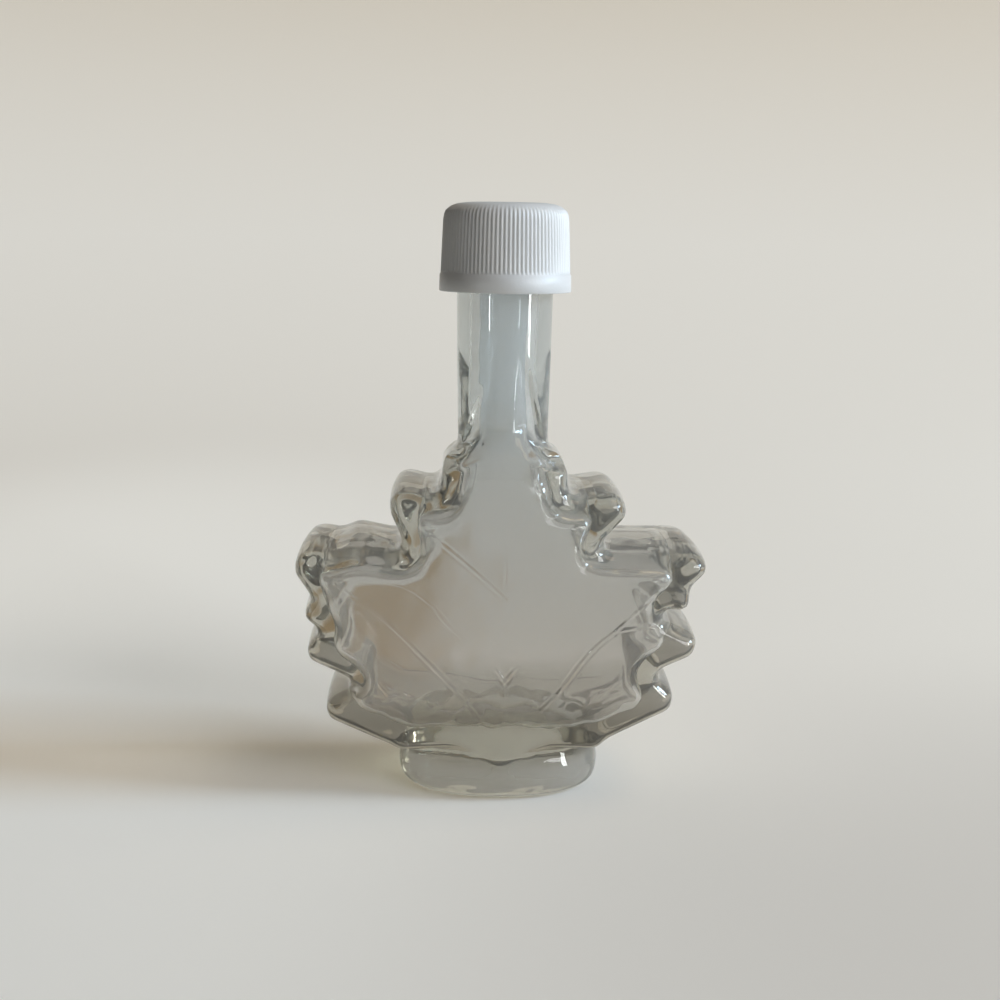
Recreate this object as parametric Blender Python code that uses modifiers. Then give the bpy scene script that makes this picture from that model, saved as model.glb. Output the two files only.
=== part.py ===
"""A maple leaf bottle: a hollow glass flask shaped as a leaf, and the ribbed cap that closes it."""

import math

import bmesh
import bpy
from mathutils import Matrix, Vector

MM = 0.001  # the dimensions below are in millimetres

# The leaf body. Corners are (distance from the centre line, height, fillet radius).
BODY_DEPTH = 30.0
EDGE_RADIUS = 2.2
FILLET_STEPS = 3
LEAF_RIGHT = (
    (4.0, 72.0, 0.0),  # inside the neck
    (4.2, 66.6, 3.5),
    (11.7, 64.2, 3.6),  # shoulder
    (11.2, 57.2, 2.4),
    (22.4, 59.0, 3.2),  # small lobe
    (22.5, 54.1, 2.0),
    (16.2, 47.4, 1.8),
    (35.8, 47.6, 3.2),  # big lobe
    (38.6, 44.5, 1.7),
    (34.6, 40.9, 2.2),
    (34.8, 36.3, 1.8),  # its second tooth
    (29.4, 36.7, 1.0),
    (29.8, 34.7, 1.0),
    (36.6, 31.6, 1.8),  # lower lobe
    (35.7, 27.9, 1.8),
    (28.2, 24.5, 1.5),
    (32.5, 20.7, 1.8),  # lowest lobe
    (31.9, 17.3, 1.8),
    (20.2, 11.7, 1.5),
    (18.0, 9.6, 1.0),
    (9.0, 9.8, 3.0),
)
LEAF_LEFT = (
    (4.0, 72.0, 0.0),
    (4.2, 66.6, 3.5),
    (11.4, 64.2, 3.6),
    (11.3, 56.9, 2.4),
    (21.9, 59.8, 3.0),
    (20.6, 54.2, 2.6),
    (16.9, 46.1, 2.4),
    (27.6, 48.3, 2.4),  # a second tooth on top of the big lobe
    (31.4, 46.7, 2.4),
    (39.05, 48.9, 2.5),
    (37.9, 42.7, 2.3),
    (34.7, 38.2, 1.5),
    (37.2, 35.0, 1.9),
    (33.1, 32.2, 1.5),
    (36.2, 29.0, 1.8),
    (35.6, 26.6, 1.6),
    (26.1, 22.2, 1.5),
    (32.8, 18.5, 1.8),
    (32.2, 15.4, 1.8),
    (20.6, 10.4, 1.5),
    (18.6, 9.2, 1.0),
    (9.0, 9.8, 3.0),
)
LEAF_BOTTOM = (0.0, 6.8, 2.5)

# The body thins from its full depth to less than the neck's between these heights.
SHOULDER_LOW, SHOULDER_HIGH = 60.5, 71.5
SHOULDER_DEPTH = 15.6
SHOULDER_CUTS = 8

# The hollows that leave a spire in the middle of each shoulder: half sizes, and the middle's place.
HOLLOW_SIZE = (5.2, 7.5, 6.2)
HOLLOW_PLACE = (8.2, 14.5, 68.5)
HOLLOW_SEGMENTS = 20

# The space inside the body, listed as the leaf is.
WALL = 2.3
INNER_EDGE_RADIUS = 1.2
INNER_RIGHT = (
    (4.0, 74.0, 0.0),
    (4.1, 67.0, 5.0),
    (8.6, 60.5, 4.0),
    (8.6, 53.6, 3.0),
    (19.2, 55.2, 1.8),
    (10.9, 44.4, 4.2),
    (34.0, 44.6, 1.8),
    (31.2, 39.7, 1.8),
    (26.6, 38.6, 2.6),
    (26.8, 33.0, 2.6),
    (33.0, 30.3, 1.5),
    (24.9, 25.6, 2.4),
    (25.2, 21.5, 2.4),
    (28.6, 18.8, 1.5),
    (15.5, 12.2, 4.0),
)
INNER_LEFT = (
    (4.0, 74.0, 0.0),
    (4.1, 67.0, 5.0),
    (8.5, 60.5, 4.0),
    (8.4, 53.2, 3.0),
    (17.7, 55.2, 1.6),
    (12.0, 41.5, 4.4),
    (27.2, 45.2, 3.0),
    (31.0, 43.0, 2.0),
    (34.8, 44.0, 1.3),
    (34.8, 41.6, 1.3),
    (31.4, 38.4, 2.0),
    (33.1, 35.6, 1.8),
    (29.2, 32.4, 2.6),
    (32.6, 28.3, 1.6),
    (23.0, 22.6, 2.6),
    (28.6, 17.7, 1.5),
    (16.0, 12.0, 4.0),
)
INNER_LOW, INNER_HIGH = 59.0, 72.0
INNER_NECK_DEPTH = 7.0

# The neck and its threaded mouth, turned: (radius, height), top to bottom on the outer side.
BORE_RADIUS = 4.5
MOUTH_RADIUS = 8.1
MOUTH_HEIGHT = 108.1
MOUTH_CHAMFER = 0.8
BORE_BOTTOM = 62.0
BORE_STEPS = 32
CUT_PAST = 1.0  # how far a cutter runs past the surface it opens
NECK_TOP_RADIUS, NECK_TOP = 8.9, 93.0
NECK_LOW_RADIUS, NECK_LOW = 8.45, 66.0
NECK_BOTTOM = 58.0
NECK_SWELL = 0.05
NECK_STEPS = 48
THREAD_PITCH = 3.2
THREAD_TURNS = 1.5
THREAD_START = 99.3  # height of the lower end
NECK_THREAD_RADIUS = 0.85
THREAD_SINK = 0.1  # how far the ridge's middle lies off the wall that carries it
THREAD_STEP = math.radians(15)

# The oval foot, turned and then narrowed from front to back.
FOOT_HALF_WIDTH = 19.4
FOOT_HALF_DEPTH = 15.1
FOOT_SQUARENESS = 2.4  # 2 is an ellipse
FOOT_PROFILE = (
    (14.0, 11.5),
    (17.3, 9.4),
    (17.9, 8.2),
    (18.9, 6.9),
    (19.3, 5.2),
    (19.4, 3.0),
    (19.0, 1.3),
    (18.2, 0.4),
    (17.2, 0.0),
    (13.4, 0.0),
    (12.4, 0.7),
)
KNOT_SIZE = (3.4, 1.8, 4.0)
KNOT_BEVEL = 0.6
KNOT_HEIGHT = 5.8
KNOT_DEPTH = 14.2  # its middle, from the leaf's middle plane

# The veins: thin ridges on both faces, as (x, z) at the root and at the tip.
VEIN_RISE = 0.2
VEIN_RADIUS = 0.6
VEIN_TIP_SHARE = 0.7
VEIN_ROOT = (0.0, 12.6)
VEIN_FORK = (0.1, 36.5)
VEINS = (
    (VEIN_ROOT, (0.3, 57.0)),
    (VEIN_ROOT, (28.0, 41.0)),
    (VEIN_ROOT, (-31.5, 43.0)),
    (VEIN_ROOT, (31.0, 30.0)),
    (VEIN_ROOT, (-31.0, 28.0)),
    (VEIN_ROOT, (28.0, 19.6)),
    (VEIN_ROOT, (-27.5, 18.4)),
    (VEIN_FORK, (16.0, 54.0)),
    (VEIN_FORK, (-16.0, 53.5)),
)

# The cap, turned round the neck's axis.
CAP_BOTTOM, CAP_TOP = 93.8, 109.9
CAP_BAND_TOP = 97.0
CAP_BAND_RADIUS = 12.15
RIB_COUNT = 94
RIB_DEPTH = 0.3
RIB_LOW_RADIUS, RIB_HIGH_RADIUS = 11.9, 11.5
RIB_TOP = 107.3
RIB_RUNOUT = 0.2
CAP_CROWN = ((10.9, 108.6), (9.9, 109.4), (8.2, 109.8))  # rings above the ribs
CAP_INNER_RADIUS = 10.45
CAP_INNER_TOP = 108.5
CAP_THREAD_RADIUS = 0.45
CAP_THREAD_TURNS = 1.25
CAP_STEPS = 48

GLASS_COLOUR = (0.78, 0.84, 0.82, 1.0)
CAP_COLOUR = (0.86, 0.87, 0.88, 1.0)
GLASS_ROUGHNESS = 0.02
CAP_ROUGHNESS = 0.35


def clear_scene():
    for obj in list(bpy.data.objects):
        bpy.data.objects.remove(obj, do_unlink=True)


def new_collection(name, helper=False):
    collection = bpy.data.collections.new(name)
    bpy.context.scene.collection.children.link(collection)
    collection.hide_render = helper
    return collection


def new_material(name, colour, roughness, transmission=0.0):
    material = bpy.data.materials.new(name)
    material.use_nodes = True
    shader = material.node_tree.nodes["Principled BSDF"]
    shader.inputs["Base Color"].default_value = colour
    shader.inputs["Roughness"].default_value = roughness
    shader.inputs["Metallic"].default_value = 0.0
    shader.inputs["Transmission Weight"].default_value = transmission
    return material


def new_object(name, data, collection, helper=False):
    obj = bpy.data.objects.new(name, data)
    collection.objects.link(obj)
    if helper:
        obj.hide_render = True
        obj.display_type = "WIRE"
    return obj


def mesh_object(name, bm, collection, helper=False):
    bmesh.ops.recalc_face_normals(bm, faces=bm.faces)
    mesh = bpy.data.meshes.new(name)
    bm.to_mesh(mesh)
    bm.free()
    return new_object(name, mesh, collection, helper)


def smooth_step(low, high, value):
    t = min(max((value - low) / (high - low), 0.0), 1.0)
    return t * t * (3 - 2 * t)


def filleted(corners, steps):
    """The points of a closed outline whose corners (x, z, radius) are rounded by arcs."""
    points = []
    for index, (x, z, radius) in enumerate(corners):
        corner = Vector((x, z))
        before = (Vector(corners[index - 1][:2]) - corner).normalized()
        after = (Vector(corners[(index + 1) % len(corners)][:2]) - corner).normalized()
        if radius == 0.0:
            points.append(corner)
            continue
        half_angle = before.angle(after) / 2
        centre = corner + (before + after).normalized() * radius / math.sin(half_angle)
        start = corner + before * radius / math.tan(half_angle) - centre
        end = corner + after * radius / math.tan(half_angle) - centre
        turn = start.angle_signed(end)
        for step in range(steps + 1):
            angle = math.atan2(start.y, start.x) - turn * step / steps
            points.append(centre + radius * Vector((math.cos(angle), math.sin(angle))))
    return points


def both_sides(right, left, bottom=()):
    """One closed outline, clockwise: down the right side, then up the left."""
    return list(right) + list(bottom) + [(-x, z, radius) for x, z, radius in reversed(left)]


def slab(name, points, depth, edge_radius, collection):
    """A flat outline, extruded from front to back, with rounded edges."""
    curve = bpy.data.curves.new(name, "CURVE")
    curve.dimensions = "2D"
    curve.fill_mode = "BOTH"
    curve.extrude = (depth / 2 - edge_radius) * MM
    curve.bevel_depth = edge_radius * MM
    curve.bevel_resolution = 2
    curve.offset = -edge_radius * MM
    spline = curve.splines.new("POLY")
    spline.use_cyclic_u = True
    spline.points.add(len(points) - 1)
    for point, (x, z) in zip(spline.points, points):
        point.co = (x * MM, z * MM, 0.0, 1.0)
    flat = new_object(name + "_outline", curve, collection)
    flat.rotation_euler = (math.radians(90), 0.0, 0.0)
    bpy.context.view_layer.update()
    graph = bpy.context.evaluated_depsgraph_get()
    mesh = bpy.data.meshes.new_from_object(flat.evaluated_get(graph))
    mesh.transform(flat.matrix_world)
    bpy.data.objects.remove(flat, do_unlink=True)
    bm = bmesh.new()
    bm.from_mesh(mesh)
    bpy.data.meshes.remove(mesh)
    bmesh.ops.remove_doubles(bm, verts=bm.verts, dist=1e-6)
    return bm


def thin_towards_neck(bm, low, high, depth, thin_depth):
    """Narrows a slab from front to back, from its full depth at low to thin_depth at high."""
    for cut in range(SHOULDER_CUTS + 1):
        height = low + (high - low) * cut / SHOULDER_CUTS
        geometry = bm.verts[:] + bm.edges[:] + bm.faces[:]
        plane = {"plane_co": (0, 0, height * MM), "plane_no": (0, 0, 1)}
        bmesh.ops.bisect_plane(bm, geom=geometry, dist=1e-7, **plane)
    for vert in bm.verts:
        share = smooth_step(low, high, vert.co.z / MM)
        vert.co.y *= 1 + (thin_depth / depth - 1) * share


def turned(name, profile, steps, collection, helper=True):
    """A profile of (radius, height), top to bottom on its outer side, turned round Z."""
    mesh = bpy.data.meshes.new(name)
    obj = new_object(name, mesh, collection, helper)
    bm = bmesh.new()
    verts = [bm.verts.new((radius * MM, 0.0, height * MM)) for radius, height in profile]
    for first, second in zip(verts, verts[1:]):
        bm.edges.new((first, second))
    bm.to_mesh(mesh)
    bm.free()
    screw = obj.modifiers.new("Turn", "SCREW")
    screw.axis = "Z"
    screw.steps = steps
    screw.render_steps = steps
    screw.use_merge_vertices = True
    screw.merge_threshold = 0.00001
    return obj


def closed_profile(outer):
    """Takes an outer profile to the axis at both ends."""
    return ((0.0, outer[0][1]),) + tuple(outer) + ((0.0, outer[-1][1]),)


def helix(name, radius, tube_radius, turns, start, collection):
    """A ridge that climbs round Z, as a mesh."""
    curve = bpy.data.curves.new(name, "CURVE")
    curve.dimensions = "3D"
    curve.bevel_depth = tube_radius * MM
    curve.bevel_resolution = 1
    curve.use_fill_caps = True
    count = round(turns * 2 * math.pi / THREAD_STEP)
    spline = curve.splines.new("POLY")
    spline.points.add(count)
    for index, point in enumerate(spline.points):
        angle = index * THREAD_STEP
        height = start + THREAD_PITCH * angle / (2 * math.pi)
        x, y = radius * math.cos(angle), radius * math.sin(angle)
        point.co = (x * MM, y * MM, height * MM, 1.0)
        point.radius = 0.4 if index in (0, count) else 1.0
    tube = new_object(name + "_path", curve, collection)
    bpy.context.view_layer.update()
    graph = bpy.context.evaluated_depsgraph_get()
    mesh = bpy.data.meshes.new_from_object(tube.evaluated_get(graph))
    bpy.data.objects.remove(tube, do_unlink=True)
    bm = bmesh.new()
    bm.from_mesh(mesh)
    bpy.data.meshes.remove(mesh)
    bmesh.ops.remove_doubles(bm, verts=bm.verts, dist=1e-6)
    return mesh_object(name, bm, collection, helper=True)


def boolean(obj, operation, collection):
    modifier = obj.modifiers.new(operation.title(), "BOOLEAN")
    modifier.operation = operation
    modifier.operand_type = "COLLECTION"
    modifier.collection = collection
    modifier.solver = "MANIFOLD"
    return modifier


def vein(start, end, face, collection):
    """A ridge of diamond section, sunk in the front (-1) or back (1) so that it fades at its tip."""
    low = Vector((start[0], 0.0, start[1])) * MM
    high = Vector((end[0], 0.0, end[1])) * MM
    along = high - low
    bm = bmesh.new()
    bmesh.ops.create_cone(
        bm,
        cap_ends=True,
        segments=4,
        radius1=VEIN_RADIUS * MM,
        radius2=VEIN_RADIUS * VEIN_TIP_SHARE * MM,
        depth=along.length,
    )
    obj = mesh_object("vein", bm, collection, helper=True)
    obj.rotation_mode = "QUATERNION"
    obj.rotation_quaternion = along.to_track_quat("Z", "Y")
    obj.location = (low + high) / 2
    obj.location.y = face * (BODY_DEPTH / 2 + VEIN_RISE - VEIN_RADIUS) * MM


def knot(face, collection):
    """The stem's end, on the front (-1) or back (1) of the foot."""
    bm = bmesh.new()
    bmesh.ops.create_cube(bm, size=1.0)
    bmesh.ops.scale(bm, vec=Vector(KNOT_SIZE) * MM, verts=bm.verts)
    bmesh.ops.bevel(
        bm, geom=bm.edges[:], offset=KNOT_BEVEL * MM, segments=2, profile=0.5, affect="EDGES"
    )
    obj = mesh_object("knot", bm, collection, helper=True)
    obj.location = (0.0, face * KNOT_DEPTH * MM, KNOT_HEIGHT * MM)


def neck(collection):
    middle = (NECK_TOP_RADIUS + NECK_LOW_RADIUS) / 2 + NECK_SWELL
    profile = (
        (MOUTH_RADIUS, MOUTH_HEIGHT),
        (NECK_TOP_RADIUS, MOUTH_HEIGHT - MOUTH_CHAMFER),
        (NECK_TOP_RADIUS, NECK_TOP),
        (middle, (NECK_TOP + NECK_LOW) / 2),
        (NECK_LOW_RADIUS, NECK_LOW),
        (NECK_LOW_RADIUS, NECK_BOTTOM),
    )
    turned("neck", closed_profile(profile), NECK_STEPS, collection)
    thread_radius = NECK_TOP_RADIUS + THREAD_SINK
    helix("neck_thread", thread_radius, NECK_THREAD_RADIUS, THREAD_TURNS, THREAD_START, collection)


def foot(collection):
    bm = bmesh.new()
    profile = closed_profile(FOOT_PROFILE)
    verts = [bm.verts.new((radius * MM, 0.0, height * MM)) for radius, height in profile]
    edges = [bm.edges.new(pair) for pair in zip(verts, verts[1:])]
    spin = {"axis": (0, 0, 1), "cent": (0, 0, 0), "angle": 2 * math.pi, "steps": NECK_STEPS}
    bmesh.ops.spin(bm, geom=verts + edges, use_merge=True, **spin)
    bmesh.ops.remove_doubles(bm, verts=bm.verts, dist=1e-6)
    for vert in bm.verts:
        angle = math.atan2(vert.co.y, vert.co.x)
        across = abs(math.cos(angle)) ** FOOT_SQUARENESS
        along = abs(math.sin(angle)) ** FOOT_SQUARENESS
        reach = (across + along) ** (-1 / FOOT_SQUARENESS)
        vert.co.x *= reach
        vert.co.y *= reach * FOOT_HALF_DEPTH / FOOT_HALF_WIDTH
    mesh_object("foot", bm, collection, helper=True)


def hollow(side, face, collection):
    """Cuts into the shoulder on one side of the neck (-1 or 1), in the front (-1) or back (1)."""
    bm = bmesh.new()
    rings = HOLLOW_SEGMENTS // 2
    bmesh.ops.create_uvsphere(bm, u_segments=HOLLOW_SEGMENTS, v_segments=rings, radius=1.0)
    bmesh.ops.scale(bm, vec=Vector(HOLLOW_SIZE) * MM, verts=bm.verts)
    x, y, z = HOLLOW_PLACE
    place = (side * x * MM, face * y * MM, z * MM)
    bmesh.ops.translate(bm, vec=place, verts=bm.verts)
    mesh_object("hollow", bm, collection, helper=True)


def bottle_space(collection):
    """What is cut from the glass: the room in the leaf, and the bore that leads up to the mouth."""
    points = filleted(both_sides(INNER_RIGHT, INNER_LEFT), FILLET_STEPS)
    depth = BODY_DEPTH - 2 * WALL
    bm = slab("room", points, depth, INNER_EDGE_RADIUS, collection)
    thin_towards_neck(bm, INNER_LOW, INNER_HIGH, depth, INNER_NECK_DEPTH)
    mesh_object("room", bm, collection, helper=True)
    bore = ((BORE_RADIUS, MOUTH_HEIGHT + CUT_PAST), (BORE_RADIUS, BORE_BOTTOM))
    turned("bore", closed_profile(bore), BORE_STEPS, collection)


def glass_bottle(parts, hollows, additions, space, material):
    corners = both_sides(LEAF_RIGHT, LEAF_LEFT, [LEAF_BOTTOM])
    points = filleted(corners, FILLET_STEPS)
    bm = slab("leaf", points, BODY_DEPTH, EDGE_RADIUS, parts)
    thin_towards_neck(bm, SHOULDER_LOW, SHOULDER_HIGH, BODY_DEPTH, SHOULDER_DEPTH)
    bottle = mesh_object("glass_bottle", bm, parts)
    bottle.data.materials.append(material)
    neck(additions)
    foot(additions)
    for face in (-1, 1):
        hollow(-1, face, hollows)
        hollow(1, face, hollows)
        knot(face, additions)
        for start, end in VEINS:
            vein(start, end, face, additions)
    boolean(bottle, "DIFFERENCE", hollows)
    boolean(bottle, "UNION", additions)
    bottle_space(space)
    boolean(bottle, "DIFFERENCE", space)


def ribbed_ring(bm, edges, radius, rib_depth, height):
    """Extrudes a rim of the cap to the next ring, whose every second point lies deeper."""
    fresh = bmesh.ops.extrude_edge_only(bm, edges=edges)["geom"]
    for vert in (item for item in fresh if isinstance(item, bmesh.types.BMVert)):
        angle = math.atan2(vert.co.y, vert.co.x)
        index = round(angle / (math.pi / RIB_COUNT))
        reach = radius - rib_depth * (index % 2)
        vert.co = Vector((math.cos(angle) * reach, math.sin(angle) * reach, height)) * MM
    return [item for item in fresh if isinstance(item, bmesh.types.BMEdge)]


def screw_cap(parts, threads, space, material):
    bm = bmesh.new()
    bmesh.ops.create_circle(
        bm,
        cap_ends=True,
        segments=2 * RIB_COUNT,
        radius=CAP_BAND_RADIUS * MM,
        matrix=Matrix.Translation((0.0, 0.0, CAP_BOTTOM * MM)),
    )
    rings = (
        (CAP_BAND_RADIUS, 0.0, CAP_BAND_TOP),
        (RIB_LOW_RADIUS, RIB_DEPTH, CAP_BAND_TOP + RIB_RUNOUT),
        (RIB_HIGH_RADIUS, RIB_DEPTH, RIB_TOP),
        *((radius, 0.0, height) for radius, height in CAP_CROWN),
    )
    rim = bm.edges[:]
    for radius, rib_depth, height in rings:
        rim = ribbed_ring(bm, rim, radius, rib_depth, height)
    bmesh.ops.edgenet_fill(bm, edges=rim)
    cap = mesh_object("screw_cap", bm, parts)
    cap.data.materials.append(material)
    inside = ((CAP_INNER_RADIUS, CAP_INNER_TOP), (CAP_INNER_RADIUS, CAP_BOTTOM - CUT_PAST))
    turned("cap_inside", closed_profile(inside), CAP_STEPS, space)
    boolean(cap, "DIFFERENCE", space)
    start = THREAD_START - THREAD_PITCH / 2
    ridge_radius = CAP_INNER_RADIUS - THREAD_SINK
    helix("cap_thread", ridge_radius, CAP_THREAD_RADIUS, CAP_THREAD_TURNS, start, threads)
    boolean(cap, "UNION", threads)


def main():
    clear_scene()
    parts = new_collection("maple_leaf_bottle")
    shoulder_cutters = new_collection("shoulder_cutters", helper=True)
    additions = new_collection("glass_additions", helper=True)
    bottle_cutters = new_collection("bottle_cutters", helper=True)
    cap_threads = new_collection("cap_threads", helper=True)
    cap_cutters = new_collection("cap_cutters", helper=True)
    glass = new_material("clear_glass", GLASS_COLOUR, GLASS_ROUGHNESS, transmission=1.0)
    plastic = new_material("white_plastic", CAP_COLOUR, CAP_ROUGHNESS)
    glass_bottle(parts, shoulder_cutters, additions, bottle_cutters, glass)
    screw_cap(parts, cap_threads, cap_cutters, plastic)


main()
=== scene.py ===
"""The looks of the maple leaf bottle: clear moulded glass and a ribbed white screw cap, in a pale studio."""

import math

import bmesh
import bpy
import numpy as np
from mathutils import Matrix, Vector, noise


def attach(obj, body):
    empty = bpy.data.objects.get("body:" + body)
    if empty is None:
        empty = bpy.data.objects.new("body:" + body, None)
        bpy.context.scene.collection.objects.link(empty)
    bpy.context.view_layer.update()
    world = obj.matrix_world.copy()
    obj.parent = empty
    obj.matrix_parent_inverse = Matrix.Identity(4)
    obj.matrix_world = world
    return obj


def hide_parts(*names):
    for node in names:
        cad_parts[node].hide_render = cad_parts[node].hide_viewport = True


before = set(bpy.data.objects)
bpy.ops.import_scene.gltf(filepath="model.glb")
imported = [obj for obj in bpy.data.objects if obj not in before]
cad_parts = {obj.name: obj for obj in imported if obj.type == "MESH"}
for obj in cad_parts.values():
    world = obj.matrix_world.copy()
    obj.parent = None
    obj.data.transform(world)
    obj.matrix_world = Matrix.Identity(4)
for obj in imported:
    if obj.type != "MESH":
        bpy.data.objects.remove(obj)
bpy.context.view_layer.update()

MM = 0.001  # the pieces are modelled in millimetres and scaled down when they are done
Z_AXIS = Vector((0, 0, 1))
FULL_TURN = 2 * math.pi
ROUND = 0.5  # a bevel's profile for a round edge
SAME_POINT = 1e-5  # points closer than this become one
ON_PLANE = 1e-4  # points closer than this to a cutting plane lie on it
SOFTENING_STEP = 0.5  # how far one round of softening moves a point to its neighbours' middle

# The leaf, seen from the front. Corners are (distance from the centre line, height, fillet radius).
HALF_DEPTH = 15.0
EDGE_RADIUS = 3.0
EDGE_STEPS = 5
CORNER_STEPS = 7
LEAF_RIGHT = (
    (4.0, 72.0, 0.0),
    (4.2, 66.6, 3.5),
    (11.7, 64.2, 3.6),
    (11.2, 57.2, 2.4),
    (22.4, 59.0, 3.5),
    (22.5, 54.1, 2.0),
    (16.2, 47.4, 1.8),
    (35.8, 47.6, 3.6),
    (38.5, 44.5, 2.2),
    (34.6, 40.9, 2.2),
    (34.8, 36.3, 1.8),
    (29.4, 36.7, 1.0),
    (29.8, 34.7, 1.2),
    (36.6, 31.6, 1.8),
    (35.7, 27.9, 1.8),
    (28.2, 24.5, 1.5),
    (32.5, 20.7, 1.8),
    (31.9, 17.3, 1.8),
    (20.2, 11.7, 1.5),
    (18.0, 9.6, 1.0),
    (9.0, 9.8, 3.0),
)
LEAF_LEFT = (
    (4.0, 72.0, 0.0),
    (4.2, 66.6, 3.5),
    (11.4, 64.2, 3.6),
    (11.3, 56.9, 2.4),
    (21.9, 59.8, 3.4),
    (20.6, 54.2, 2.6),
    (16.9, 46.1, 2.4),
    (27.6, 48.3, 2.4),
    (31.4, 46.7, 2.4),
    (38.8, 48.9, 4.0),
    (37.9, 42.7, 2.3),
    (34.7, 38.2, 1.5),
    (37.2, 35.0, 1.9),
    (33.1, 32.2, 1.5),
    (36.2, 29.0, 1.8),
    (35.6, 26.6, 1.6),
    (26.1, 22.2, 1.5),
    (32.8, 18.5, 1.8),
    (32.2, 15.4, 1.8),
    (20.6, 10.4, 1.5),
    (18.6, 9.2, 1.0),
    (9.0, 9.8, 3.0),
)
LEAF_BOTTOM = (0.0, 6.8, 2.5)
SHOULDER = (60.5, 71.5, 15.6 / 30.0)  # where the leaf thins towards the neck, and to what share
SHOULDER_CUTS = 14

# The room inside the leaf, listed in the same way.
ROOM_HALF_DEPTH = 12.6
ROOM_EDGE_RADIUS = 1.8
ROOM_RIGHT = (
    (4.0, 74.0, 0.0),
    (4.1, 67.0, 5.0),
    (8.6, 60.5, 4.0),
    (8.6, 53.6, 3.0),
    (19.2, 55.2, 1.8),
    (10.9, 44.4, 4.2),
    (34.0, 44.6, 1.8),
    (31.2, 39.7, 1.8),
    (27.4, 38.8, 2.5),
    (27.5, 33.1, 2.5),
    (33.0, 30.3, 1.5),
    (24.9, 25.6, 2.4),
    (25.2, 21.5, 2.4),
    (28.6, 18.8, 1.5),
    (16.0, 13.6, 3.0),
)
ROOM_LEFT = (
    (4.0, 74.0, 0.0),
    (4.1, 67.0, 5.0),
    (8.5, 60.5, 4.0),
    (8.4, 53.2, 3.0),
    (17.7, 55.2, 1.6),
    (12.0, 41.5, 4.4),
    (27.2, 45.2, 3.0),
    (31.0, 43.0, 2.0),
    (34.8, 44.0, 1.3),
    (34.8, 41.6, 1.3),
    (31.4, 38.4, 2.0),
    (33.1, 35.6, 1.8),
    (29.2, 32.4, 2.6),
    (32.6, 28.3, 1.6),
    (23.0, 22.6, 2.6),
    (28.6, 17.7, 1.5),
    (16.5, 13.4, 3.0),
)
ROOM_SHOULDER = (59.0, 72.0, 7.0 / 25.2)

# Turned shapes, as (radius, height) from top to bottom.
NECK = (
    (6.6, 108.1),
    (7.9, 107.9),
    (8.8, 107.0),
    (8.9, 106.0),
    (8.9, 93.0),
    (8.75, 80.0),
    (8.45, 66.0),
    (8.45, 58.0),
)
BORE = ((7.0, 110.0), (5.2, 108.1), (4.6, 107.3), (4.5, 106.0), (4.4, 84.0), (4.6, 70.0), (4.6, 62.0))
FOOT = (
    (14.0, 11.5),
    (17.3, 9.4),
    (17.9, 8.2),
    (18.9, 6.9),
    (19.3, 5.2),
    (19.4, 3.0),
    (19.0, 1.3),
    (18.2, 0.4),
    (17.2, 0.0),
    (13.4, 0.0),
    (12.4, 0.7),
)
FOOT_FLATTEN = 15.1 / 19.4
FOOT_SQUARENESS = 2.4  # 2 is a plain oval
FOOT_POLISH = (9.0, 12)  # below this height, and how often
TURN_STEPS = 96

THREAD_PITCH = 3.2
THREAD_STEPS = 24  # to one turn
THREAD_SIDES = 10
NECK_THREAD = {"radius": 9.0, "tube": 0.85, "start": 99.3, "turns": 1.5}
CAP_THREAD = {"radius": 10.35, "tube": 0.45, "start": 97.7, "turns": 1.25}

# The stem's end on the foot: its size, its middle's distance from the leaf's middle plane, and its height.
KNOT_SIZE = (4.0, 2.4, 6.4)
KNOT_PLACE = (13.95, 7.6)
KNOT_BEVEL, KNOT_BEVEL_STEPS = 0.8, 3

GLASS_VOXEL = 0.6
GLASS_SOFTENING = 14
ROOM_VOXEL = 0.85
ROOM_FIRST_SOFTENING = 2
ROOM_SOFTENING = 34
ROOM_CRISP = (11.0, 24.0)  # the heights between which the room gets its softening
BORE_SOFTENING = 6
ROOM_WAVES = ((9.0, 0.35), (4.0, 0.15))  # the size and height of the waves in the room's wall
FLOOR_WAVES = (2.6, 0.55)
FLOOR_TOP = 21.5  # the room is wavier below this height
FLOOR_FADE = 4.0

# The veins on the front and back: how clearly each stands out, and the (x, z) points of its middle line.
FRONT_VEINS = (
    (1.0, ((7.2, 17.8), (9.1, 19.6), (11.2, 22.2), (16.5, 29.9), (20.8, 33.2), (27.5, 39.8))),
    (0.6, ((20.8, 33.2), (24.0, 33.8), (29.8, 34.7))),
    (0.5, ((-3.6, 16.0), (-7.7, 20.9), (-12.5, 26.0), (-21.1, 35.0), (-32.5, 43.4))),
    (0.7, ((0.8, 16.2), (0.7, 19.5), (0.6, 23.3))),
    (0.12, ((0.6, 23.3), (0.5, 39.1), (0.3, 56.0))),
    (0.5, ((0.5, 39.1), (-2.3, 41.7), (-7.4, 46.2), (-15.0, 52.4))),
    (0.2, ((0.4, 41.0), (4.0, 43.8), (9.4, 48.4), (15.6, 54.0))),
    (0.8, ((0.6, 23.3), (-0.2, 24.6), (-1.0, 25.8))),
    (0.8, ((0.6, 23.3), (1.5, 24.6), (2.4, 25.9))),
)
BACK_VEINS = (
    (0.9, ((0.7, 12.4), (-6.0, 14.8), (-14.0, 16.4), (-19.4, 17.2), (-29.5, 19.2))),
    (0.3, ((0.6, 15.4), (-7.7, 23.8), (-13.9, 30.1), (-25.0, 41.0))),
    (0.1, ((0.9, 12.4), (1.0, 30.8), (0.6, 50.0))),
    (0.3, ((0.9, 12.8), (1.9, 14.1), (3.1, 15.4), (12.0, 24.0), (26.0, 39.0))),
    (0.8, ((0.9, 12.4), (6.5, 13.0), (12.7, 13.2), (20.9, 14.4), (29.6, 17.6))),
)
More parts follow.
